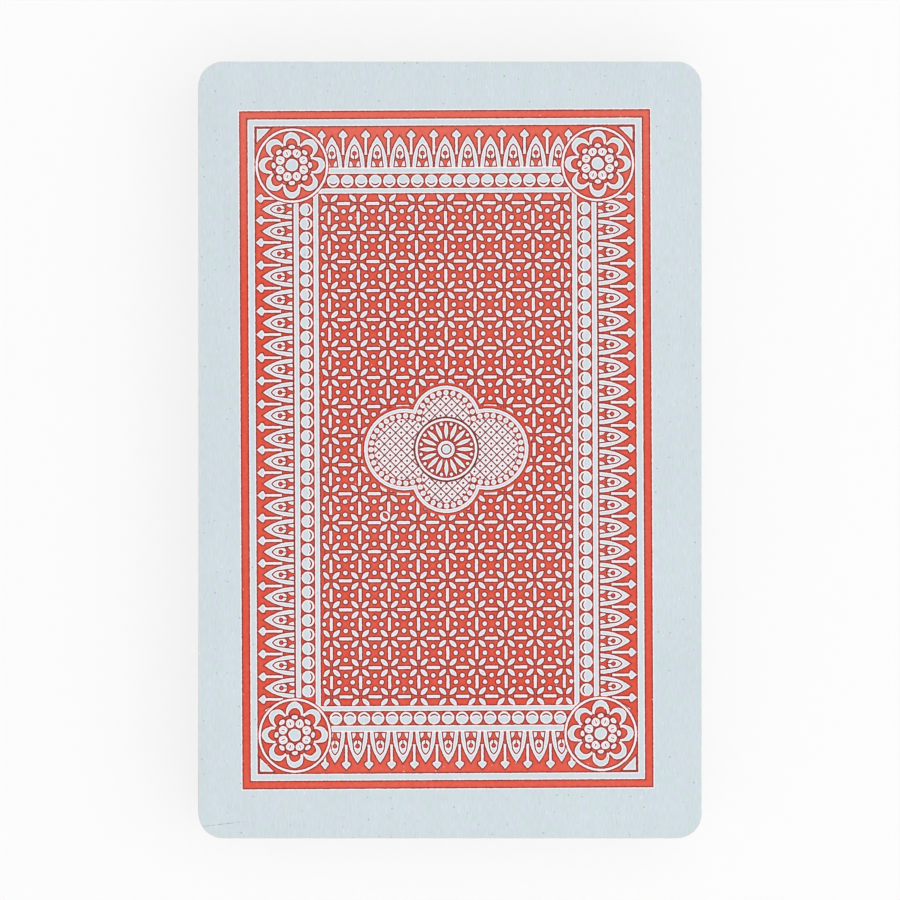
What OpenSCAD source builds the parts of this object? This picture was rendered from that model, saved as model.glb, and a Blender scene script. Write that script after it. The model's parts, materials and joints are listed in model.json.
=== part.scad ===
// A squared deck of playing cards, lying face down on a table.
// The face of the bottom card is at Z = 0, the long edges run along Y and the printed backs look up.

/* [Card] */
// Width of a card, along X
card_w = 57; // [50:0.5:70]
// Length of a card, along Y
card_l = 88; // [80:0.5:120]
// Thickness of the laminated card
card_t = 0.285; // [0.2:0.005:0.5]
// Radius of the die-cut corners
corner_r = 2.8; // [1:0.1:8]
// How far the cutting die rolls the edge over, on the face and on the back
edge_roll = 0.06; // [0.01:0.005:0.09]

/* [Deck] */
// Air between two cards that lie on each other
air_gap = 0.015; // [0.005:0.005:0.1]
// Furthest that squaring by hand leaves a card from the middle of the deck
slip_max = 0.2; // [0:0.01:0.5]
// Most that squaring by hand leaves a card turned, in degrees
turn_max = 0.12; // [0:0.01:0.3]

/* [Hidden] */
$fn = 96;

ranks = ["ace", "two", "three", "four", "five", "six", "seven", "eight", "nine", "ten", "jack", "queen", "king"];
ranks_down = [for (i = [len(ranks) - 1 : -1 : 0]) ranks[i]];
function suit_of(suit, order) = [for (rank = order) str(rank, "_of_", suit)];

// The cards from the table up, in the order in which a new deck is packed.
NODES = concat(
    ["joker_one", "joker_two"],
    suit_of("spades", ranks),
    suit_of("diamonds", ranks),
    suit_of("clubs", ranks_down),
    suit_of("hearts", ranks_down)
);

pitch = card_t + air_gap;
middle = (len(NODES) - 1) / 2;

// Angles between one card and the next in the unevenness of the stack.
// Each is an irrational share of a turn, so no run of cards repeats.
golden_angle = 180 * (3 - sqrt(5));
silver_angle = 360 * (sqrt(2) - 1);
bronze_angle = 180 * (sqrt(13) - 3);

// How uneven the stack is at a place in it: most in the middle, and none at the top and bottom,
// where the hands press the cards true.
function unevenness(place) = cos(90 * (place - middle) / middle);
function slip_x(place) = slip_max * unevenness(place) * sin(golden_angle * (place - middle));
function slip_y(place) = slip_max * unevenness(place) * sin(silver_angle * (place - middle));
function turn(place) = turn_max * unevenness(place) * sin(bronze_angle * (place - middle));

// Section through the edge of a card, from the centre line of the corner out to the cut edge.
module edge_section() {
    polygon([
        [0, 0],
        [corner_r - edge_roll, 0],
        [corner_r, edge_roll],
        [corner_r, card_t - edge_roll],
        [corner_r - edge_roll, card_t],
        [0, card_t]
    ]);
}

// One straight edge of the given length, which looks along +X and is centred on Y.
module straight_edge(length) {
    translate([0, length / 2, 0])
        rotate([90, 0, 0])
            linear_extrude(length)
                edge_section();
}

// One quarter-round corner, which fills the quadrant between +X and +Y.
module round_corner() {
    rotate_extrude(angle = 90)
        edge_section();
}

// One card, face down, centred on Z: a flat leaf with the edge section carried round its outline.
module card() {
    flat_w = card_w - 2 * corner_r;
    flat_l = card_l - 2 * corner_r;
    translate([-flat_w / 2, -flat_l / 2, 0])
        cube([flat_w, flat_l, card_t]);
    for (side = [0, 180])
        rotate(side) {
            translate([flat_w / 2, 0, 0])
                straight_edge(flat_l);
            translate([0, flat_l / 2, 0])
                rotate(90)
                    straight_edge(flat_w);
            translate([flat_w / 2, flat_l / 2, 0])
                round_corner();
            translate([-flat_w / 2, flat_l / 2, 0])
                rotate(90)
                    round_corner();
        }
}

// The card at a place in the stack, counted from the table.
module card_in_deck(place) {
    translate([slip_x(place), slip_y(place), place * pitch])
        rotate(turn(place))
            card();
}

for (place = [0 : len(NODES) - 1])
    color("aliceblue")
            card_in_deck(place);
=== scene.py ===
import json
import math
from functools import reduce

import bpy
import numpy as np
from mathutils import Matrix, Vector
from mathutils.geometry import delaunay_2d_cdt


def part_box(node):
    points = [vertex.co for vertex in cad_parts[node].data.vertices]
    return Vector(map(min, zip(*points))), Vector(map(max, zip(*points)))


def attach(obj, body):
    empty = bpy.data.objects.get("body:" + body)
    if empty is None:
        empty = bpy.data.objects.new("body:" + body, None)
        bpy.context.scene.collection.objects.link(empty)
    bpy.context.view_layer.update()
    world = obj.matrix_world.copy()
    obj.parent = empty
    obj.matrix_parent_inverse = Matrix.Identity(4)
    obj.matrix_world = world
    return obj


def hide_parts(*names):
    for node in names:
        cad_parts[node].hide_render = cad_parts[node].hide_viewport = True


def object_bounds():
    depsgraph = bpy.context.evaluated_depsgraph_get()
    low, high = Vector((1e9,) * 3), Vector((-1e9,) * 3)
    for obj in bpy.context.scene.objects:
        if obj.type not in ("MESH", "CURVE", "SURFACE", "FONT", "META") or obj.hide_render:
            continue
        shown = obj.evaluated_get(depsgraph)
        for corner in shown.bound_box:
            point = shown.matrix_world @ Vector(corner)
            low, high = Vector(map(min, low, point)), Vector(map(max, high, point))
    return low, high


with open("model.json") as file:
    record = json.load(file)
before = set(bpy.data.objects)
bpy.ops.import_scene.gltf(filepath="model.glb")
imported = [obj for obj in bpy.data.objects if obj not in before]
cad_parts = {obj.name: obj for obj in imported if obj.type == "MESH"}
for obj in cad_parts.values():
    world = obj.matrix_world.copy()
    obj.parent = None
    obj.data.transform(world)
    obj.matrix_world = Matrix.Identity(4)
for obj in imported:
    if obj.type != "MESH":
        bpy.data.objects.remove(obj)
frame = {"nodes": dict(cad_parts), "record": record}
cad_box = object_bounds()

# The card stock: two plies of pale, faintly blue paper glued into one stiff sheet, with a satin coating.
# The fibres run the long way of the card and show as weak streaks, and now and then one of them is dark.

LILAC_STOCK = (0.640, 0.695, 0.765, 1)
GREEN_STOCK = (0.614, 0.719, 0.725, 1)
# The dark colour serves the dark fibres and flecks, and also the painted shade in the top card's crease.
DARK_FIBRE_AND_CREASE_SHADE = (0.22, 0.23, 0.24, 1)
PALE_FIBRE = (0.95, 0.96, 0.97, 1)
COATING_ROUGHNESS = 0.46
COATING_SHINE = 0.25
GRAIN_STEP = 7.3
SPECK_STRIDE = (1.7, 1.3)
HUE_CLOUDS = 0.9
HUE_SPREAD = (0.25, 0.75)
FIBRE_GRAIN = (6.0, 1.0)
FIBRE_SHADE = 0.22
STREAK_GRAIN = (0.8, 0.06)
CLOUD_GRAIN = (0.1, 0.1)
STREAK_SHADE = 0.06
FIBRE_CELLS = (1.6, 0.5)
FIBRES = (0.12, 0.11)
PALE_FIBRE_SHARE = 0.5
DARK_FIBRE_SHARE = 0.25
FLECK_CELLS = (0.7, 0.7)
FLECKS = (0.30, 0.075)
FLECK_SHARE = 0.7

cards = sorted(frame["record"]["behaviour"]["bodies"], key=lambda card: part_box(card)[0][2])


class Value:
    """A number or colour that changes over a surface. It holds the socket of the node that gives it, and sums
    on values add Math nodes to the material that is being made."""

    tree = None

    def __init__(self, socket):
        self.socket = socket

    @staticmethod
    def node(kind, settings=None, sockets=None, out=0):
        """Adds a node of a type, sets its settings, then gives each socket its number, colour or value."""
        made = Value.tree.nodes.new(kind)
        for name, setting in (settings or {}).items():
            setattr(made, name, setting)
        for name, given in (sockets or {}).items():
            if isinstance(given, Value):
                Value.tree.links.new(given.socket, made.inputs[name])
            else:
                made.inputs[name].default_value = given
        return Value(made.outputs[out])

    @staticmethod
    def math(operation, *terms):
        return Value.node("ShaderNodeMath", {"operation": operation}, dict(enumerate(terms)))

    def __add__(self, other):
        return Value.math("ADD", self, other)

    def __sub__(self, other):
        return Value.math("SUBTRACT", self, other)

    def __rsub__(self, other):
        return Value.math("SUBTRACT", other, self)

    def __mul__(self, other):
        return Value.math("MULTIPLY", self, other)

    def __neg__(self):
        return Value.math("MULTIPLY", self, -1.0)

    def __abs__(self):
        return Value.math("ABSOLUTE", self)

    def __gt__(self, other):
        return Value.math("GREATER_THAN", self, other)

    __radd__ = __add__
    __rmul__ = __mul__


def most(*values):
    """The largest of the values."""
    return reduce(lambda a, b: Value.math("MAXIMUM", a, b), values)


def least(*values):
    """The smallest of the values."""
    return reduce(lambda a, b: Value.math("MINIMUM", a, b), values)


def vector(x, y, z=0.0):
    return Value.node("ShaderNodeCombineXYZ", sockets={0: x, 1: y, 2: z})


def ease(value, low, high):
    """0 at low and 1 at high, with a smooth step between them."""
    settings = {"interpolation_type": "SMOOTHSTEP"}
    return Value.node("ShaderNodeMapRange", settings, {"Value": value, "From Min": low, "From Max": high})


def blend(share, first, second):
    """A colour that goes from first to second as share goes from 0 to 1."""
    return Value.node("ShaderNodeMix", {"data_type": "RGBA"}, {0: share, 6: first, 7: second}, 2)


def grain(x, y, z, detail=2.0):
    """Noise around a half, with about one lump to each unit of x, y and z. Another z gives another noise."""
    sockets = {"Vector": vector(x, y, z), "Scale": 1.0, "Detail": detail}
    return Value.node("ShaderNodeTexNoise", sockets=sockets)


def specks(x, y, z, share, radius):
    """Small round specks, weak or strong up to 1, in that share of the unit cells of x and y, and 0
    elsewhere. Another z gives other specks."""
    flat = {"voronoi_dimensions": "2D"}
    cells = vector(x + z * SPECK_STRIDE[0], y + z * SPECK_STRIDE[1])
    sockets = {"Vector": cells, "Scale": 1.0}
    away = Value.node("ShaderNodeTexVoronoi", flat, sockets, "Distance")
    lot = Value.node("ShaderNodeTexVoronoi", flat, sockets, "Color")
    draw, strength = [Value.node("ShaderNodeSeparateXYZ", sockets={0: lot}, out=axis) for axis in (0, 1)]
    return (draw > 1 - share) * strength * ease(away, radius, radius / 2)


def card_spot():
    """Place on the card in millimetres from its middle, and the card's own number for its grain."""
    spot = Value.node("ShaderNodeAttribute", {"attribute_name": "card_mm"}, out="Vector")
    return [Value.node("ShaderNodeSeparateXYZ", sockets={0: spot}, out=axis) for axis in range(3)]


def stock_colour(x, y, z):
    """Pale stock that goes between two hues in soft clouds. Short fibres along Y shade it, some of them pale
    or dark enough to be seen, and there are a few dark flecks. Each number added to z gives a layer of its
    own."""
    streaks = grain(x * STREAK_GRAIN[0], y * STREAK_GRAIN[1], z + 3.0)
    clouds = grain(x * CLOUD_GRAIN[0], y * CLOUD_GRAIN[1], z + 6.0)
    fibres = grain(x * FIBRE_GRAIN[0], y * FIBRE_GRAIN[1], z)
    shade = (fibres - 0.5) * FIBRE_SHADE + (streaks + clouds - 1.0) * STREAK_SHADE + 1.0
    hue = grain(x * HUE_CLOUDS, y * HUE_CLOUDS, z + 15.0)
    stock = blend(ease(hue, *HUE_SPREAD), LILAC_STOCK, GREEN_STOCK)
    tone = Value.node("ShaderNodeVectorMath", {"operation": "SCALE"}, {0: stock, "Scale": shade})
    fibre_x, fibre_y = x * FIBRE_CELLS[0], y * FIBRE_CELLS[1]
    tone = blend(specks(fibre_x, fibre_y, z + 18.0, *FIBRES) * PALE_FIBRE_SHARE, tone, PALE_FIBRE)
    tone = blend(specks(fibre_x, fibre_y, z, *FIBRES) * DARK_FIBRE_SHARE, tone, DARK_FIBRE_AND_CREASE_SHADE)
    flecks = specks(x * FLECK_CELLS[0], y * FLECK_CELLS[1], z + 21.0, *FLECKS)
    return blend(flecks * FLECK_SHARE, tone, DARK_FIBRE_AND_CREASE_SHADE)


def finish(name, paint):
    """A new Principled material. paint adds its nodes and gives what goes to each of the shader's sockets."""
    material = bpy.data.materials.new(name)
    material.use_nodes = True
    Value.tree = material.node_tree
    shader = Value.tree.nodes["Principled BSDF"]
    for socket, given in paint().items():
        if isinstance(given, Value):
            Value.tree.links.new(given.socket, shader.inputs[socket])
        else:
            shader.inputs[socket].default_value = given
    return material


# The back print: one red ink, laid on by offset, with all the pale ornament left as bare stock. Its quarters
# are alike, and it went on a little left of the middle and a little turned. Ink gathers at its rims and
# leaves them darker, and bare stock next to it looks whiter. The top card has a few flaws of its own, and a
# crease whose dark line is painted shade.

PRINT_MIDDLE = (-0.42, 0.08)
ORNAMENT_SHIFT = (0.05, -0.05)
PRINT_TURN = math.radians(0.3)
PANEL = (23.295, 38.43)
RULE_W = 0.97
RULE_GAP = 0.75
FIELD = (14.375, 29.055)
FRAME_RULES = ((0.0, 0.55), (2.22, 2.77))
BEADS_OUT = 1.38
FRIEZE_OUT = 2.99
INK_RIM_AT = 0.090
HAIR_SLOPE = 4.0


def distance(x, y):
    """Length of the line from the origin to x, y."""
    return Value.node("ShaderNodeVectorMath", {"operation": "LENGTH"}, {0: vector(x, y)}, "Value")


def fold(value, pitch):
    """Distance to the nearest whole multiple of the pitch."""
    return Value.math("PINGPONG", value, pitch / 2)


def band(value, low, high):
    """Depth inside the stretch from low to high: above 0 within it, below 0 outside."""
    return least(value - low, high - value)


def polar(x, y, count):
    """Folds a place into one of count equal sectors: its distance along the sector's axis and beside it."""
    angle = fold(Value.math("ARCTAN2", y, x), 2 * math.pi / count)
    reach = distance(x, y)
    return reach * Value.math("COSINE", angle), reach * Value.math("SINE", angle)


def hair(line):
    """Depth outside a thin line of ink. Within the line it falls off fast, to the depth of the dark rim and
    no more, so that the line is dark from side to side."""
    return most(least(-line, line * -HAIR_SLOPE), -INK_RIM_AT)


def leaf_shape(along, beside, half_l, half_w):
    """Depth inside a pointed leaf: the overlap of two circles through its tips and its widest points."""
    radius = (half_l**2 + half_w**2) / (2 * half_w)
    return radius - distance(abs(beside) + (radius - half_w), along)


LANCET_PITCH = 2.57
LANCET_HALF = 1.135
LANCET_H = 3.34
INNER_ARC = (1.005, 0.543, 1.574)
INNER_LEAN = 0.133
LANCET_LINE = 0.148
DROP = (1.27, 0.45)
EYE = (1.45, 0.285)
STALK_HALF = 0.062
FOOT_PETAL = (0.66, 0.63, 1.4)
DART_HALF = 0.13
DART_OUT = (1.30, 3.50)
DART_HEAD = (3.14, 4.07, math.radians(42.5), math.radians(27))
DART_BARBS = (3.42, 0.47, 0.68)


def lancet_frieze(along, out):
    """Pointed arches side by side with darts between them. An arch lies between two pairs of arcs that meet
    in points, and the inner ones stand on flanks that lean in. A drop with an eye and a stalk stands in it,
    between two petals. A dart's head lies within two slanting lines, two raked ones and an oval."""
    beside = fold(along, LANCET_PITCH)
    bow = (LANCET_H**2 - LANCET_HALF**2) / (2 * LANCET_HALF)
    radius, inner_bow, inner_out = INNER_ARC
    over = out - inner_out
    flare = least(over, 0.0) * INNER_LEAN
    inner = radius + LANCET_LINE / 2 - distance(beside + inner_bow + flare, most(over, 0.0))
    arch = least(bow + LANCET_HALF - distance(beside + bow, out), -inner)
    eye = EYE[1] - distance(beside, out - EYE[0])
    stalk = least(STALK_HALF - beside, EYE[0] - out)
    drop = least(inner, DROP[1] - distance(beside, least(out - DROP[0], 0.0)), -eye, hair(stalk))
    petal_x, petal_r, squeeze = FOOT_PETAL
    petal = least(inner, petal_r - distance((beside - petal_x) * squeeze, out), out)
    lancet = least(most(arch, drop, petal), hair(band(inner, 0.0, LANCET_LINE)))
    aside = LANCET_PITCH / 2 - beside
    shaft = least(DART_HALF - aside, band(out, *DART_OUT))
    low, tip, slant, rake = DART_HEAD
    sides = (tip - out) * math.sin(slant) - aside * math.cos(slant)
    base = (out - low) * math.cos(rake) - aside * math.sin(rake)
    barb_out, barb_r, stretch = DART_BARBS
    head = least(sides, base, barb_r - distance(aside, (out - barb_out) * stretch))
    return most(lancet, shaft, head)


BEAD_PITCH = 1.588
BEAD_R = 0.70
BEAD_ARC = (0.02, 0.52, 0.18, 0.15)


def bead_row(along, out):
    """Round beads in a row, each with a thin crescent line on its inner side: what one circle has outside
    another that is set deeper."""
    beside = fold(along, BEAD_PITCH)
    middle, radius, deep, start = BEAD_ARC
    hollow = distance(beside, out - middle - deep) - radius
    crescent = least(radius - distance(beside, out - middle), hollow, -out - start)
    return least(BEAD_R - distance(beside, out), hair(crescent))


ROSETTE = (17.33, 32.285)
ROSETTE_PETALS = 8
ROSETTE_RING = (3.88, 4.10)
RING_DOWN = 0.056
RING_STRETCH = 1.022
ROSETTE_CLEAR = 0.14
CRESCENT = ((2.78, 0.94), (2.37, 0.69))
CRESCENT_FROM = 2.22
CRESCENT_GAP = 0.07
SEED = (2.05, 0.22, 0.34)
PEARL = (1.42, 0.47)
PEARL_VEIN = (0.20, 0.06)
ROSETTE_BUTTON = 0.70
HAND_CUT = 0.25
HAND_GRAIN = 0.9


def corner_rosette(x, y):
    """Hooped petals, seeds and pearls round a button, all a little uneven, as cut by hand. A petal lies
    between two hoops, a seed is an oval, and a pearl is a disc with a vein."""
    wander_x, wander_y = [grain(x * HAND_GRAIN, y * HAND_GRAIN, plate, 1.0) - 0.5 for plate in (3.5, 8.5)]
    x, y = x + wander_x * HAND_CUT, y + wander_y * HAND_CUT
    along, beside = polar(x, y, ROSETTE_PETALS)
    outer, inner = [radius - distance(most(along - start, 0.0), beside) for start, radius in CRESCENT]
    seed_at, seed_deep, seed_wide = SEED
    seed = (1 - distance((along - seed_at) * (1 / seed_deep), beside * (1 / seed_wide))) * seed_deep
    c, s = math.cos(math.pi / ROSETTE_PETALS), math.sin(math.pi / ROSETTE_PETALS)
    across = along * c + beside * s - PEARL[0]
    aside = along * s - beside * c
    petal = least(outer, -inner, along - CRESCENT_FROM, aside - CRESCENT_GAP / 2)
    vein = least(PEARL_VEIN[0] - abs(across), PEARL_VEIN[1] - aside)
    pearl = least(PEARL[1] - distance(across, aside), hair(vein))
    return most(petal, seed, pearl, ROSETTE_BUTTON - distance(x, y))


DIAPER_PITCH = 3.288
DIAPER_SQUEEZE = 0.9965
DIAPER_STARS = 4
DIAPER_END = (13.8, 28.4)
DIAPER_CROWDING = 0.14
CUT_OFF = 6
STAR_LEAF = (0.84, 0.55, 0.237)
DASH = (0.73, 0.156)
DOT = (0.745, 0.232)


def diaper(x, y):
    """A close pattern all over the field: four-leaved stars, dashes between stars, and four dots in each
    space. It is a little closer beyond the last column of stars."""
    run = x * DIAPER_SQUEEZE
    beyond = most(run - DIAPER_STARS * DIAPER_PITCH, 0.0)
    across = fold(run + beyond * DIAPER_CROWDING, DIAPER_PITCH)
    up = DIAPER_PITCH / 2 - fold(y, DIAPER_PITCH)
    far = most(across, up)
    near = least(across, up)
    slant = math.sqrt(0.5)
    star = leaf_shape((far + near) * slant - STAR_LEAF[0], (far - near) * slant, *STAR_LEAF[1:])
    dash = least(far - (DIAPER_PITCH / 2 - DASH[0]), DASH[1] - near, DIAPER_END[0] - x)
    dot = DOT[1] - distance(DIAPER_PITCH / 2 - far, near - (DIAPER_PITCH / 2 - DOT[0]))
    return most(star, least(most(dash, dot), (DIAPER_END[1] - y) * CUT_OFF))


LOBES = ((4.70, 4.60, 31.44), (3.30, 3.90, 24.89))
PEARL_BAND = (0.40, 1.16)
BORDER_PEARL = 0.29
LATTICE_PITCH = 0.90
LATTICE_HALF = 0.070
LATTICE_DOT = 0.13
SUN_RING = (3.50, 3.72)
SUN_R = 3.25
SUN_RAYS = 16
RAY = (2.12, 0.95, 0.22)
RAY_DOT = (2.90, 0.18)
SUN_BUTTON = 0.95
BUTTON_LINE = (0.46, 0.62)
MEDALLION_CLEAR = 0.35


def medallion_depth(x, y):
    """Depth inside the medallion's outline: four round lobes, two long ones and two short ones."""
    (side_at, side_r, _), (end_at, end_r, _) = LOBES
    return most(side_r - distance(x - side_at, y), end_r - distance(x, y - end_at))


def medallion(x, y, depth):
    """A pale medallion with pearls all along its border, a dotted lattice, and in its middle a sun in a ring,
    with rays round a button and a dot between every two rays."""
    pearls = []
    for (lobe_at, lobe_r, count), ahead, aside in zip(LOBES, (x, y), (y, x)):
        along, beside = polar(ahead - lobe_at, aside, count)
        pearls.append(BORDER_PEARL - distance(along - (lobe_r - sum(PEARL_BAND) / 2), beside))
    reach = distance(x, y)
    outside = reach - SUN_RING[1]
    border = least(band(depth, *PEARL_BAND), -most(*pearls), outside)
    slant, half = math.sqrt(0.5), LATTICE_PITCH / 2
    rising, falling = [fold(way * slant, LATTICE_PITCH) for way in (x - y, x + y)]
    lattice_dot = LATTICE_DOT - distance(half - rising, half - falling)
    lattice = most(LATTICE_HALF - least(rising, falling), lattice_dot)
    lines = most(least(lattice, depth - PEARL_BAND[1], outside), band(reach, *SUN_RING))
    along, beside = polar(x, y, SUN_RAYS)
    c, s = math.cos(math.pi / SUN_RAYS), math.sin(math.pi / SUN_RAYS)
    ray_dot = RAY_DOT[1] - distance(along * c + beside * s - RAY_DOT[0], along * s - beside * c)
    button = least(SUN_BUTTON - reach, hair(band(reach, *BUTTON_LINE)))
    sun = most(leaf_shape(along - RAY[0], beside, *RAY[1:]), ray_dot, button)
    return least(depth, -border, hair(lines), most(reach - SUN_R, sun))


FRIEZE_JOIN = 2.2
FRIEZE_CREEP = 0.011
SIDE_LANCETS = 0.9896
SIDE_BEADS = 0.9895
END_CROWDING = (12.85, 0.14)
TOP_CROWDING = (19.0, 0.0042)
END_FRIEZE_OUT = 0.08
END_FRIEZE_FOOT = 0.2
END_RULE_WIDER = 0.14
FRIEZE_PAST_FIELD = 0.5
BEADS_SHORT_OF_FIELD = (0.78, 1.05)
FIELD_CLEAR = 0.04
CORNER_CHIP = (0.30, 2.10)


def back_pattern(across, up):
    """Depth inside the pale parts of the print, in millimetres: above 0 on bare stock and below 0 on ink. The
    side friezes run a little wide above a join near the middle and a little close below it, and at the ends
    of a frieze the last dart is crowded. The end friezes stand on their rule, and the others just off it."""
    x, y = abs(across), abs(up)
    from_field = (x - FIELD[0], y - FIELD[1])
    out = most(*from_field)
    at_corner = least(*from_field)
    on_side = from_field[0] > from_field[1]
    on_end = 1 - on_side
    run_x, run_y = abs(across - ORNAMENT_SHIFT[0]), abs(up - ORNAMENT_SHIFT[1])

    end_short, side_short = BEADS_SHORT_OF_FIELD
    bead_end = on_end * (side_short - end_short) - side_short
    beads = bead_row(run_x * on_end + run_y * on_side * SIDE_BEADS, out - BEADS_OUT)
    beads = least(beads, (bead_end - at_corner) * CUT_OFF)

    side_run = (up - abs(up - FRIEZE_JOIN) * FRIEZE_CREEP) * SIDE_LANCETS
    reach = most(side_run - TOP_CROWDING[0], 0.0)
    side_run = side_run + reach * reach * TOP_CROWDING[1] + LANCET_PITCH / 2
    end_run = run_x + most(run_x - END_CROWDING[0], 0.0) * END_CROWDING[1]
    from_rule = out - FRIEZE_OUT - on_end * END_FRIEZE_OUT
    frieze = lancet_frieze(end_run * on_end + side_run * on_side, from_rule)
    frieze = least(frieze, from_rule + on_end * END_FRIEZE_FOOT, (FRIEZE_PAST_FIELD - at_corner) * CUT_OFF)

    (inner_from, inner_to), (outer_from, outer_to) = FRAME_RULES
    outer_to = on_end * END_RULE_WIDER + outer_to
    rules = most(band(out, inner_from, inner_to), band(out, outer_from, outer_to))
    at_rosette = (x - ROSETTE[0], y - ROSETTE[1])
    ring_y = (at_rosette[1] + Value.math("SIGN", up) * RING_DOWN) * (1 / RING_STRETCH)
    ring = distance(at_rosette[0], ring_y)
    border = least(most(rules, beads, frieze), ring - (ROSETTE_RING[1] + ROSETTE_CLEAR))

    to_edge = [half - RULE_W - RULE_GAP - place for half, place in zip(PANEL, (x, y))]
    chip_from, chip_to = CORNER_CHIP
    chip = least(*to_edge) - chip_from
    chip = least(chip, (chip_to - to_edge[0] - to_edge[1]) * math.sqrt(0.5))
    corner = most(corner_rosette(*at_rosette), band(ring, *ROSETTE_RING), chip)

    depth = medallion_depth(x, y)
    field = least(diaper(run_x, run_y), -out - FIELD_CLEAR, (-depth - MEDALLION_CLEAR) * CUT_OFF)
    ornament = most(border, corner, field, medallion(x, y, depth))
    panel = -least(*to_edge)
    return most(least(ornament, -panel), band(panel, 0.0, RULE_GAP), panel - RULE_GAP - RULE_W)


BLOT = (-7.38, -7.53, 0.57)
BLOT_CORE = (0.05, 0.08, 0.46, 0.27)
BLOT_TURN = math.radians(36)
BLOT_RIM = 0.14
SCRATCH = (8.64, 7.98, 0.45, 0.07)
FLAWS_AWAY = 100
# A crease near one corner of the top card: its broken dark line is painted shade of the fold.
CREASE_FROM = (-28.1, -42.66)
CREASE_SLOPE = 0.118
CREASE_EDGE = (0.08, 0.02)
CREASE_FADE = (5.4, 3.0)
CREASE_BREAKS = (2.4, 0.42, 0.62)
CREASE_SHADE = (0.18, 0.5)


def flawed(pale, x, y, away):
    """The print with a blot, pale round a speck of ink, and a short scratch. Both are moved off by away."""
    blot_x, blot_y, blot_r = BLOT
    spot = (x - blot_x + away, y - blot_y)
    reach = distance(*spot)
    core_x, core_y = spot[0] - BLOT_CORE[0], spot[1] - BLOT_CORE[1]
    c, s = math.cos(BLOT_TURN), math.sin(BLOT_TURN)
    core = leaf_shape(core_x * s - core_y * c, core_x * c + core_y * s, *BLOT_CORE[2:])
    at_x, at_y, half_l, half_w = SCRATCH
    scratch = half_w - distance(most(abs(x - at_x + away) - half_l, 0.0), y - at_y)
    around = least(pale, reach - (blot_r + BLOT_RIM))
    return least(most(around, blot_r - reach, scratch), -core)


def crease(x, y, z, away):
    """Share of painted shade in a thin crease that starts at the edge, fades along its run and is broken up.
    With an away above 0 there is none."""
    run = x - CREASE_FROM[0]
    line = ease(abs(y - CREASE_FROM[1] - run * CREASE_SLOPE) + away, *CREASE_EDGE) * ease(run, *CREASE_FADE)
    lumps, low, high = CREASE_BREAKS
    return line * (ease(grain(x * lumps, 4.0, z), low, high) * CREASE_SHADE[1] + CREASE_SHADE[0])


RED_INK = (0.755, 0.057, 0.022, 1)
THIN_INK = (0.785, 0.160, 0.112, 1)
THIN_SHARE = 0.12
INK_MOTTLE = (2.2, 0.99)
INK_CLOUDS = (0.05, 0.54)
THIN_ENDS = ((16.0, 40.0, 0.55), (-26.0, -42.0, 0.25))
INK_RIM = (0.090, 0.005, 0.007, 1)
INK_RIM_W = (0.075, 0.02)
INK_TAIL = (-0.36, -0.10)
INK_TAIL_SHARE = 0.22
INK_EDGE = 0.025
INK_RAGGED = 0.12
RAGGED_GRAIN = 4.0
INK_GLOSS = 0.06
PINHOLE_CELLS = 1.1
PINHOLES = (0.05, 0.08)
STOCK_BY_INK = (1.0, 0.90, 0.93, 1)
STOCK_RIM = (0.14, 0.075)


def red_ink(x, y, z, pale):
    """Red ink, mottled finely and in wide clouds and thinner towards both ends of the card. It is dark at its
    rims and a little dark near them, and it has pinholes."""
    thin = THIN_SHARE
    for (lumps, spread), layer in ((INK_MOTTLE, 9.0), (INK_CLOUDS, 12.0)):
        thin = (grain(x * lumps, y * lumps, z + layer) - 0.5) * spread + thin
    for start, end, share in THIN_ENDS:
        thin = ease(y, start, end) * share + thin
    rim = ease(abs(pale + INK_RIM_AT), *INK_RIM_W)
    dark = most(rim, ease(pale, *INK_TAIL) * INK_TAIL_SHARE)
    ink = blend(dark, blend(thin, RED_INK, THIN_INK), INK_RIM)
    return blend(specks(x * PINHOLE_CELLS, y * PINHOLE_CELLS, z, *PINHOLES), ink, STOCK_BY_INK)


def printed_back():
    """Ink and bare stock, parted where the print's depth goes through 0. Only the top card has the flaws and
    a crease, whose dark line is painted shade.
    """
    x, y, z = card_spot()
    on_top = z > (len(cards) - 1.5) * GRAIN_STEP
    away = FLAWS_AWAY - on_top * FLAWS_AWAY
    c, s = math.cos(PRINT_TURN), math.sin(PRINT_TURN)
    shift_x, shift_y = x - PRINT_MIDDLE[0], y - PRINT_MIDDLE[1]
    pattern = back_pattern(shift_x * c + shift_y * s, shift_y * c - shift_x * s)
    ragged = (grain(x * RAGGED_GRAIN, y * RAGGED_GRAIN, z) - 0.5) * INK_RAGGED
    pale = flawed(pattern, x, y, away) + ragged
    bare = ease(pale, -INK_EDGE, INK_EDGE)
    # The crease darkens the stock with painted shade.
    stock = blend(crease(x, y, z, away), stock_colour(x, y, z), DARK_FIBRE_AND_CREASE_SHADE)
    stock = blend(ease(pale, *STOCK_RIM), stock, STOCK_BY_INK)
    return {
        "Base Color": blend(bare, red_ink(x, y, z, pale), stock),
        "Roughness": bare * INK_GLOSS + (COATING_ROUGHNESS - INK_GLOSS),
        "Specular IOR Level": COATING_SHINE,
    }


material_back = finish("printed_back", printed_back)

# The face print: red or black ink on the same stock, with a rank and a suit sign in two corners and pips
# between them, one for each of the card's value. The courts have a frame with crowns, and the jokers a star.

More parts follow.
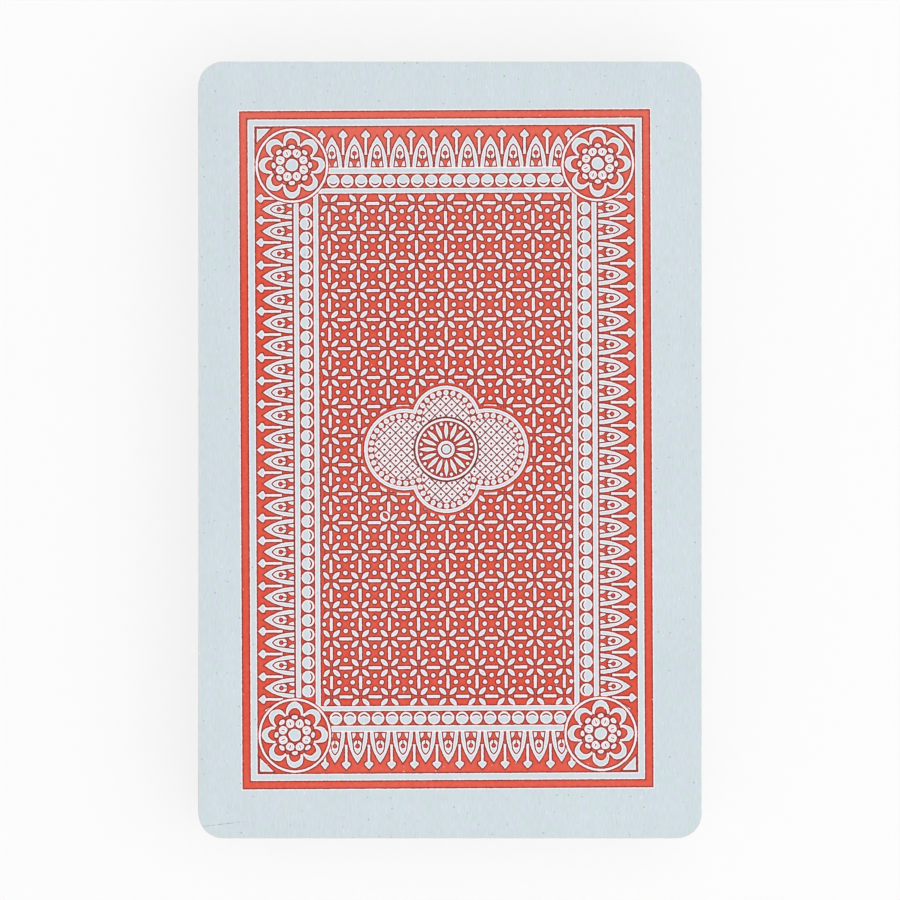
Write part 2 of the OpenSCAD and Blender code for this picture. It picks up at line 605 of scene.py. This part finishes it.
INDEX_AT = (24.0, 37.0)
INDEX_H = 6.2
INDEX_MAX_W = 5.6
INDEX_CURVE_STEPS = 4
INDEX_SIGN = (29.4, 4.8)
SLIVER = 1e-6
PIP_COLUMN = 10.4
PIP_TOP = 27.5
PIP_H = 9.8
ACE_H = 18.0
CENTRE_PIPS = {2: [1, -1], 3: [1, 0, -1], 5: [0], 7: [0.5], 8: [0.5, -0.5], 9: [0], 10: [2 / 3, -2 / 3]}
SIDE_ROWS = {2: 0, 3: 0, 4: 2, 5: 2, 6: 3, 7: 3, 8: 3, 9: 4, 10: 4}
NUMBERS = ["ace", "two", "three", "four", "five", "six", "seven", "eight", "nine", "ten"]
RANKS = NUMBERS + ["jack", "queen", "king"]
INDEX_SIGNS = ["A", "2", "3", "4", "5", "6", "7", "8", "9", "10", "J", "Q", "K"]
COURT_FRAME = (33.0, 66.0, 1.6, 0.35)
COURT_INSET = 1.05
COURT_INNER_LINE = 0.175
COURT_BAR = (14.52, 0.132)
COURT_SIGN_UP = 25.5
JOKER_STAR = 22.0
JOKER_RING = (13.0, 12.5)
OUTLINE_STEPS = 48
turns = np.linspace(0, 2 * math.pi, OUTLINE_STEPS, endpoint=False)


def disc(x, y, radius):
    """A circle of a radius around x, y."""
    return np.column_stack([x + radius * np.cos(turns), y + radius * np.sin(turns)])


STEM_HALF = (0.03, 0.20)
STEM_H = 0.5
STEM_STEPS = 6


def stem():
    """A foot that flares downwards: its half width grows with the square of the distance from its top."""
    drop = np.linspace(0, 1, STEM_STEPS + 1)
    half = STEM_HALF[0] + (STEM_HALF[1] - STEM_HALF[0]) * drop**2
    return np.column_stack([np.append(-half, half[::-1]), -STEM_H * np.append(drop, drop[::-1])])


def heart():
    """The heart curve, with x the cube of a sine and y a sum of cosines, one unit high."""
    t = turns[::-1]
    x = 16 * np.sin(t) ** 3
    y = 13 * np.cos(t) - 5 * np.cos(2 * t) - 2 * np.cos(3 * t) - np.cos(4 * t)
    return np.column_stack([x, y + 2.5]) / 29


DIAMOND_HALF = (0.40, 0.5)
DIAMOND_POWER = 2.15


def diamond():
    """A lozenge whose sides bend in a little: its x and y are powers of a cosine and a sine."""
    way = np.column_stack([np.cos(turns), np.sin(turns)])
    return DIAMOND_HALF * np.sign(way) * abs(way) ** DIAMOND_POWER


STAR_POINTS = 5
STAR_NOTCH = 0.21


def star():
    """A star with straight sides, from its tips and the notches between them."""
    angle = math.pi / 2 + math.pi / STAR_POINTS * np.arange(2 * STAR_POINTS)
    reach = np.tile([0.5, STAR_NOTCH], STAR_POINTS)
    return np.column_stack([reach * np.cos(angle), reach * np.sin(angle)])


SPADE_SIZE = (-0.92, -0.80)
SPADE_UP = 0.09
CLUB_LEAVES = ((0, 0.25), (-0.24, -0.10), (0.24, -0.10))
CLUB_LEAF_R = 0.25
CLUB_MIDDLE = (0, 0.03, 0.14)
SUIT_SIGNS = {
    "hearts": [heart()],
    "diamonds": [diamond()],
    "spades": [heart() * SPADE_SIZE + [0, SPADE_UP], stem()],
    "clubs": [disc(x, y, CLUB_LEAF_R) for x, y in CLUB_LEAVES] + [disc(*CLUB_MIDDLE), stem()],
    "joker": [star()],
}


def moved(shapes, x, y, size=1):
    """Shapes at another place and size. A size below 0 turns them upside down."""
    return [(outline * size + [x, y], weight) for outline, weight in shapes]


def both_ways(shapes):
    """The shapes, and the same shapes turned about the middle of the card."""
    return shapes + moved(shapes, 0, 0, -1)


def sign(suit, x, y, height):
    """The outlines of a suit sign, at a place and height, upside down if the height is below 0."""
    return moved([(outline, 1) for outline in SUIT_SIGNS[suit]], x, y, height)


def index_sign(text):
    """The filled shape of a rank's letter or number, as small polygons around its own middle, without the
    slivers that have no area to fill."""
    curve = bpy.data.curves.new("index", "FONT")
    curve.body = text
    curve.resolution_u = INDEX_CURVE_STEPS
    holder = bpy.data.objects.new("index", curve)
    mesh = bpy.data.meshes.new_from_object(holder)
    points = np.empty(3 * len(mesh.vertices))
    mesh.vertices.foreach_get("co", points)
    points = points.reshape(-1, 3)[:, :2]
    size = np.ptp(points, axis=0)
    scale = [min(INDEX_H / size[1], INDEX_MAX_W / size[0]), INDEX_H / size[1]]
    points = (points - points.min(0) - size / 2) * scale
    shapes = [(points[list(polygon.vertices)], 1) for polygon in mesh.polygons if polygon.area > SLIVER]
    bpy.data.objects.remove(holder)
    bpy.data.curves.remove(curve)
    bpy.data.meshes.remove(mesh)
    return shapes


QUARTERS = ((1, 1), (-1, 1), (-1, -1), (1, -1))
FRAME_CORNER_STEPS = 6


def rounded_outline(width, length, radius, steps):
    """Corner centres and outward directions round a rounded rectangle: four quarter circles and straights
    between them. A point of the outline, set in by some distance, is its centre plus (radius - inset) times
    its direction."""
    angle = np.linspace(0, math.pi / 2, steps + 1)
    angle = (angle + math.pi / 2 * np.arange(4)[:, None]).ravel()
    direction = np.stack([np.cos(angle), np.sin(angle)], axis=1)
    quarter = np.repeat(QUARTERS, steps + 1, axis=0)
    return quarter * [width / 2 - radius, length / 2 - radius], direction


def frame_line(width, length, radius, line):
    """A thin frame: a rounded rectangle less the same one set in by the width of its line."""
    centre, direction = rounded_outline(width, length, radius, FRAME_CORNER_STEPS)
    return [(centre + radius * direction, 1), (centre + (radius - line) * direction, -1)]


CROWN_POINTS = {"jack": 3, "queen": 4, "king": 5}
CROWN_AT = 11.5
CROWN_W = 15.0
CROWN_HALF = 0.40
CROWN_FOOT = -0.20
CROWN_BAND = (-0.32, -0.25)
CROWN_TIP = 0.34
CROWN_SAG = 0.3
CROWN_NOTCH = -0.02
CROWN_BALL = (0.04, 0.045)


def crown(points):
    """A crown of so many points on a band, one unit wide: a zigzag whose tips lie on a parabola, with a ball
    on each tip."""
    tips = np.linspace(-0.5, 0.5, points)
    notches = (tips[1:] + tips[:-1]) / 2
    top = np.empty((2 * points - 1, 2))
    top[0::2] = np.column_stack([tips, CROWN_TIP - CROWN_SAG * tips**2])
    top[1::2] = np.column_stack([notches, np.full(points - 1, CROWN_NOTCH)])
    body = np.concatenate([[[-CROWN_HALF, CROWN_FOOT], [CROWN_HALF, CROWN_FOOT]], top[::-1]])
    low, high = CROWN_BAND
    base = np.array([[-CROWN_HALF, low], [CROWN_HALF, low], [CROWN_HALF, high], [-CROWN_HALF, high]])
    ball_up, ball_r = CROWN_BALL
    balls = [(disc(x, y + ball_up, ball_r), 1) for x, y in top[0::2]]
    return [(body, 1), (base, 1)] + balls


index_shapes = {rank: index_sign(text) for rank, text in zip(RANKS, INDEX_SIGNS)}


def court_shapes(rank, suit):
    """A double frame with a bar across its middle, and on both sides of the bar a crown and a suit sign."""
    width, length, radius, line = COURT_FRAME
    inner_size = (width - 2 * COURT_INSET, length - 2 * COURT_INSET, radius - COURT_INSET)
    inner = frame_line(*inner_size, COURT_INNER_LINE)
    half = moved(crown(CROWN_POINTS[rank]), 0, CROWN_AT, CROWN_W)
    half += sign(suit, -PIP_COLUMN, COURT_SIGN_UP, PIP_H)
    bar = np.array(QUARTERS) * COURT_BAR
    return frame_line(width, length, radius, line) + inner + both_ways(half) + [(bar, 1)]


def face_shapes(card):
    """All the inked shapes on a card's face, as outlines with 1 for ink and -1 for a hole in it."""
    x, y = INDEX_AT
    if card.startswith("joker"):
        ring = [(disc(0, 0, JOKER_RING[0]), 1), (disc(0, 0, JOKER_RING[1]), -1)]
        return ring + sign("joker", 0, 0, JOKER_STAR) + both_ways(sign("joker", -x, y, INDEX_H))
    rank, suit = card.split("_of_")
    sign_y, sign_h = INDEX_SIGN
    corners = both_ways(moved(index_shapes[rank], -x, y) + sign(suit, -x, sign_y, sign_h))
    if rank == "ace":
        return corners + sign(suit, 0, 0, ACE_H)
    if rank in CROWN_POINTS:
        return corners + court_shapes(rank, suit)
    value = RANKS.index(rank) + 1
    heights = np.linspace(1, -1, SIDE_ROWS[value]) if SIDE_ROWS[value] else []
    places = [(side * PIP_COLUMN, up) for side in (-1, 1) for up in heights]
    places += [(0, up) for up in CENTRE_PIPS.get(value, [])]
    pips = [sign(suit, across, up * PIP_TOP, -PIP_H if up < 0 else PIP_H) for across, up in places]
    return corners + sum(pips, [])


FACE_RED = (0.62, 0.030, 0.036, 1)
FACE_BLACK = (0.020, 0.020, 0.023, 1)
FACE_MOTTLE = 1.2
FADED = (0.8, 0.02)
WORN_CELLS = 0.7
WORN_SPECKS = (0.06, 0.06)
WORN_SHARE = 0.7
GLOSS_SPREAD = 0.1


def face_ink(colour):
    """Ink with a little mottle and some worn specks, on the coated stock."""

    def paint():
        x, y, z = card_spot()
        mottle = grain(x * FACE_MOTTLE, y * FACE_MOTTLE, z, 3.0)
        worn = specks(x * WORN_CELLS, y * WORN_CELLS, z + 5.0, *WORN_SPECKS)
        faded = tuple(FADED[0] * part + FADED[1] for part in colour[:3]) + (1,)
        return {
            "Base Color": blend(worn * WORN_SHARE, blend(mottle, faded, colour), STOCK_BY_INK),
            "Roughness": mottle * GLOSS_SPREAD + (COATING_ROUGHNESS - GLOSS_SPREAD),
            "Specular IOR Level": COATING_SHINE,
        }

    return paint


def plain_face():
    """Bare coated stock."""
    x, y, z = card_spot()
    return {
        "Base Color": stock_colour(x, y, z),
        "Roughness": grain(x, y, z) * GLOSS_SPREAD + (COATING_ROUGHNESS - GLOSS_SPREAD / 2),
        "Specular IOR Level": COATING_SHINE,
    }


material_face = finish("plain_face", plain_face)
face_inks = {
    "red": finish("face_red_ink", face_ink(FACE_RED)),
    "black": finish("face_black_ink", face_ink(FACE_BLACK)),
}

# The leaves: every card is one leaf punched from the printed sheet, with round corners, and with its edge
# rolled over a little by the die on both sides. They lie face down on each other, loose, and each keeps the
# place and the small turn that squaring by hand has left it with.

MM = 0.001
CARD_W = 57.0
CARD_L = 88.0
CARD_T = 0.285
CARD_PITCH = 0.30
CORNER_R = 2.8
EDGE_ROLL = 0.06
CORNER_STEPS = 12
ROLL_STEPS = 4
CUT_DRIFT = 0.004
BAKE_CELL = (58.5, 89.5)
SAME_POINT = 1e-4


def resting_place(card):
    """Middle, turn and lower face of a card in millimetres, measured on its solid: the mean of its points,
    the direction in which they spread furthest, and the height of the lowest."""
    solid = frame["nodes"][card].data
    points = np.empty(3 * len(solid.vertices))
    solid.vertices.foreach_get("co", points)
    points = np.unique(np.round(points.reshape(-1, 3) / MM, 4), axis=0)
    spread = np.cov(points[:, :2].T)
    turn = 0.5 * math.atan2(-2 * spread[0, 1], spread[1, 1] - spread[0, 0])
    return points.mean(0)[:2], turn, points[:, 2].min()


def placed(points, middle, turn, low):
    """Card points in millimetres, turned about Z and set down at the card's place, in metres."""
    c, s = math.cos(turn), math.sin(turn)
    flat = points[:, :2] @ np.array([[c, s], [-s, c]]) + middle
    return np.column_stack([flat, points[:, 2] + low]) * MM


def printed_face(rim, shapes):
    """Cuts the face inside its rim along the outlines of the inked shapes. Gives the face's points, the
    number of the rim's point that each one is, or -1, the triangles, and which of them are inked."""
    outlines = [rim] + [outline for outline, weight in shapes]
    weights = np.array([0] + [weight for outline, weight in shapes])
    ends = np.cumsum([len(outline) for outline in outlines])
    loops = [list(range(end - len(outline), end)) for outline, end in zip(outlines, ends)]
    points = [Vector(point) for point in np.concatenate(outlines).tolist()]
    points, _, triangles, origins, _, sources = delaunay_2d_cdt(points, [], loops, 1, SAME_POINT)
    on_rim = np.array([min(origin, default=len(rim)) for origin in origins])
    on_rim[on_rim >= len(rim)] = -1
    inked = np.array([weights[source].sum() > 0 for source in sources])
    return np.array(points), on_rim, np.array(triangles), inked


def leaf_mesh(card, place):
    """A closed leaf: a section carried round the outline, from the middle of the back, over the rolled edge,
    the cut side and the other rolled edge, to the rim of the face. Each roll is a quarter circle of inset
    and height. The sheets creep in the cutter, so every card is a hair shorter than the one above it."""
    length = CARD_L - CUT_DRIFT * (len(cards) - 1 - place)
    centre, direction = rounded_outline(CARD_W, length, CORNER_R, CORNER_STEPS)
    roll = np.linspace(0, math.pi / 2, ROLL_STEPS + 1)
    inset = EDGE_ROLL * np.concatenate([1 - np.sin(roll), 1 - np.cos(roll)])
    height = np.concatenate([CARD_T - EDGE_ROLL * (1 - np.cos(roll)), EDGE_ROLL * (1 - np.sin(roll))])
    rings, around = len(inset), len(centre)
    flat = centre + (CORNER_R - inset[:, None, None]) * direction
    section = np.concatenate([flat, np.broadcast_to(height[:, None, None], (rings, around, 1))], axis=2)
    here = np.arange(around)
    after = np.roll(here, -1)
    first = around * np.arange(rings - 1)[:, None]
    walls = np.stack([first + here, first + around + here, first + around + after, first + after], axis=2)
    back_middle = rings * around
    back = np.stack([np.full(around, back_middle), here, after], axis=1)

    # The face is drawn as it is seen, so it is mirrored on the card, and its rim runs the other way round.
    rim = (flat[-1] * [-1, 1])[::-1]
    face_points, on_rim, triangles, inked = printed_face(rim, face_shapes(card))
    inner = face_points[on_rim < 0] * [-1, 1]
    numbers = around * rings - 1 - on_rim
    numbers[on_rim < 0] = back_middle + 1 + np.arange(len(inner))
    face = numbers[triangles]
    inner_points = np.column_stack([inner, np.zeros(len(inner))])
    points = np.concatenate([section.reshape(-1, 3), [[0, 0, CARD_T]], inner_points])
    polygons = back.tolist() + walls.reshape(-1, 4).tolist() + face.tolist()
    mesh = bpy.data.meshes.new(card)
    mesh.from_pydata(placed(points, *resting_place(card)).tolist(), [], polygons)
    sides = np.concatenate([np.repeat([0, 1], [around, around * (rings - 1)]), np.where(inked, 3, 2)])
    mesh.polygons.foreach_set("material_index", sides.astype(np.int32))
    mesh.polygons.foreach_set("use_smooth", sides == 1)
    spots = np.column_stack([points[:, :2], np.full(len(points), place * GRAIN_STEP)])
    mesh.attributes.new("card_mm", "FLOAT_VECTOR", "POINT").data.foreach_set("vector", spots.ravel())

    # The map for the finished colours has the back with its cut side in one half and the face in the other.
    run = np.concatenate([[0], np.cumsum(np.hypot(np.diff(inset), np.diff(height)))])
    maps = []
    for ring_run, cell in ((run, 0.25), (run[-1] - run, 0.75)):
        laid = centre + (CORNER_R - EDGE_ROLL + ring_run[:, None, None]) * direction
        laid = np.concatenate([laid.reshape(-1, 2), [[0, 0]], inner])
        maps.append(laid / [2 * BAKE_CELL[0], BAKE_CELL[1]] + [cell, 0.5])
    corners = np.concatenate([back.ravel(), walls.ravel(), face.ravel()])
    lower_roll = np.repeat(np.arange(rings - 1) > ROLL_STEPS, 4 * around)
    half = np.concatenate([np.zeros(back.size, int), lower_roll, np.ones(face.size, int)])
    mesh.uv_layers.new(name="OFBake").data.foreach_set("uv", np.stack(maps)[half, corners].ravel())
    return mesh


CUT_PAPER = (0.78, 0.78, 0.76, 1)
HANDLED_PAPER = (0.60, 0.59, 0.555, 1)
GLUE_LINE = (0.50, 0.50, 0.49, 1)
CARD_TINT = (0.31, 0.17)
CARD_TINT_SHARE = 0.5
HANDLING_GRAIN = 0.6
HANDLING_SHARE = 0.6
EDGE_FIBRES = (6.0, 9.0)
EDGE_FIBRE_SHARE = 0.3
HANDLED_FROM = (0.50, 1.00)
GLUE_HALF = (0.035, 0.01)
GLUE_SHARE = 0.5
EDGE_ROUGHNESS = (0.65, 0.15)


def cut_edge():
    """Bare paper along the cut, with its glue line, handled grey in places, and on every card a shade of its
    own."""
    x, y, z = card_spot()
    place = Value.node("ShaderNodeTexCoord", out="Object")
    height = Value.node("ShaderNodeSeparateXYZ", sockets={0: place}, out=2) * (1 / MM)
    from_middle = abs(Value.math("FLOORED_MODULO", height, CARD_PITCH) - CARD_T / 2)
    tint = grain(z * CARD_TINT[0], z * CARD_TINT[1], 2.0, 0.0) * CARD_TINT_SHARE
    handled = grain(x * HANDLING_GRAIN, y * HANDLING_GRAIN, z) * HANDLING_SHARE
    fibre = grain(x * EDGE_FIBRES[0], y * EDGE_FIBRES[0], height * EDGE_FIBRES[1], 3.0)
    grey = ease(tint + handled + fibre * EDGE_FIBRE_SHARE, *HANDLED_FROM)
    paper = blend(grey, CUT_PAPER, HANDLED_PAPER)
    glue = ease(from_middle, *GLUE_HALF) * GLUE_SHARE
    return {
        "Base Color": blend(glue, paper, GLUE_LINE),
        "Roughness": fibre * EDGE_ROUGHNESS[1] + EDGE_ROUGHNESS[0],
    }


material_edge = finish("cut_edge", cut_edge)

for place, card in enumerate(cards):
    leaf = bpy.data.objects.new(card + "_leaf", leaf_mesh(card, place))
    bpy.context.scene.collection.objects.link(leaf)
    red = card.endswith(("hearts", "diamonds", "joker_one"))
    for material in (material_back, material_edge, material_face, face_inks["red" if red else "black"]):
        leaf.data.materials.append(material)
    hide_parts(card)
    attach(leaf, card)

# The table and the light: a plain white floor under soft studio light from all round, with a wide lamp above.
# Seen directly or in a reflection, floor and surroundings are white, with a weak shadow by the deck.

FLOOR_HALF = 2.0
FLOOR_DROP = 0.02 * MM
FLOOR_COLOUR = (0.93, 0.93, 0.93, 1)
FLOOR_ROUGHNESS = 0.9
FLOOR_GLOW = 0.70
FLOOR_FADE = (0.12, 0.60)
SKY_STRENGTH = 0.65
LAMP_AT = (0.20, -0.12, 0.92)
LAMP_SIZE = 0.9
LAMP_POWER = 4.02
SEEN_RAYS = ("Is Camera Ray", "Is Glossy Ray", "Is Transmission Ray")

floor_mesh = bpy.data.meshes.new("floor")
floor_corners = [(x * FLOOR_HALF, y * FLOOR_HALF, -FLOOR_DROP) for x, y in QUARTERS]
floor_mesh.from_pydata(floor_corners, [], [(0, 1, 2, 3)])
floor = bpy.data.objects.new("floor", floor_mesh)
bpy.context.scene.collection.objects.link(floor)


def floor_paint():
    return {"Base Color": FLOOR_COLOUR, "Roughness": FLOOR_ROUGHNESS}


def seen():
    """1 for rays that come from the camera or from a reflection or refraction, and 0 for the others."""
    return most(*[Value.node("ShaderNodeLightPath", out=ray) for ray in SEEN_RAYS])


floor_material = finish("floor_paint", floor_paint)
painted = Value(Value.tree.nodes["Principled BSDF"].outputs[0])
floor_spot = Value.node("ShaderNodeTexCoord", out="Object")
away = Value.node("ShaderNodeVectorMath", {"operation": "LENGTH"}, {0: floor_spot}, "Value")
glow = ease(away, *FLOOR_FADE) * (1 - FLOOR_GLOW) + FLOOR_GLOW
white = Value.node("ShaderNodeEmission")
mixed = Value.node("ShaderNodeMixShader", sockets={0: seen() * glow, 1: painted, 2: white})
Value.tree.links.new(mixed.socket, Value.tree.nodes["Material Output"].inputs["Surface"])
floor_mesh.materials.append(floor_material)

world = bpy.data.worlds.new("studio")
bpy.context.scene.world = world
world.use_nodes = True
Value.tree = world.node_tree
sky = Value.tree.nodes["Background"]
sky.inputs["Color"].default_value = (1, 1, 1, 1)
Value.tree.links.new((seen() * (1 - SKY_STRENGTH) + SKY_STRENGTH).socket, sky.inputs["Strength"])

lamp_data = bpy.data.lights.new("lamp", "AREA")
lamp_data.size = LAMP_SIZE
lamp_data.energy = LAMP_POWER
lamp = bpy.data.objects.new("lamp", lamp_data)
lamp.location = LAMP_AT
lamp.rotation_euler = (-Vector(LAMP_AT)).to_track_quat("-Z", "Y").to_euler()
bpy.context.scene.collection.objects.link(lamp)

# The camera looks straight down on the middle of the deck, as the photograph does. It stands far off, so that
# perspective hardly shows.

VIEW_W = 101.97
VIEW_DISTANCE = 700.0
SENSOR_W = 36.0
camera_data = bpy.data.cameras.new("camera")
camera_data.sensor_width = SENSOR_W
camera_data.lens = SENSOR_W * VIEW_DISTANCE / VIEW_W
camera = bpy.data.objects.new("camera", camera_data)
camera.location = (0, 0, cad_box[1][2] + VIEW_DISTANCE * MM)
bpy.context.scene.collection.objects.link(camera)
bpy.context.scene.camera = camera
bpy.context.scene.view_settings.view_transform = "Standard"
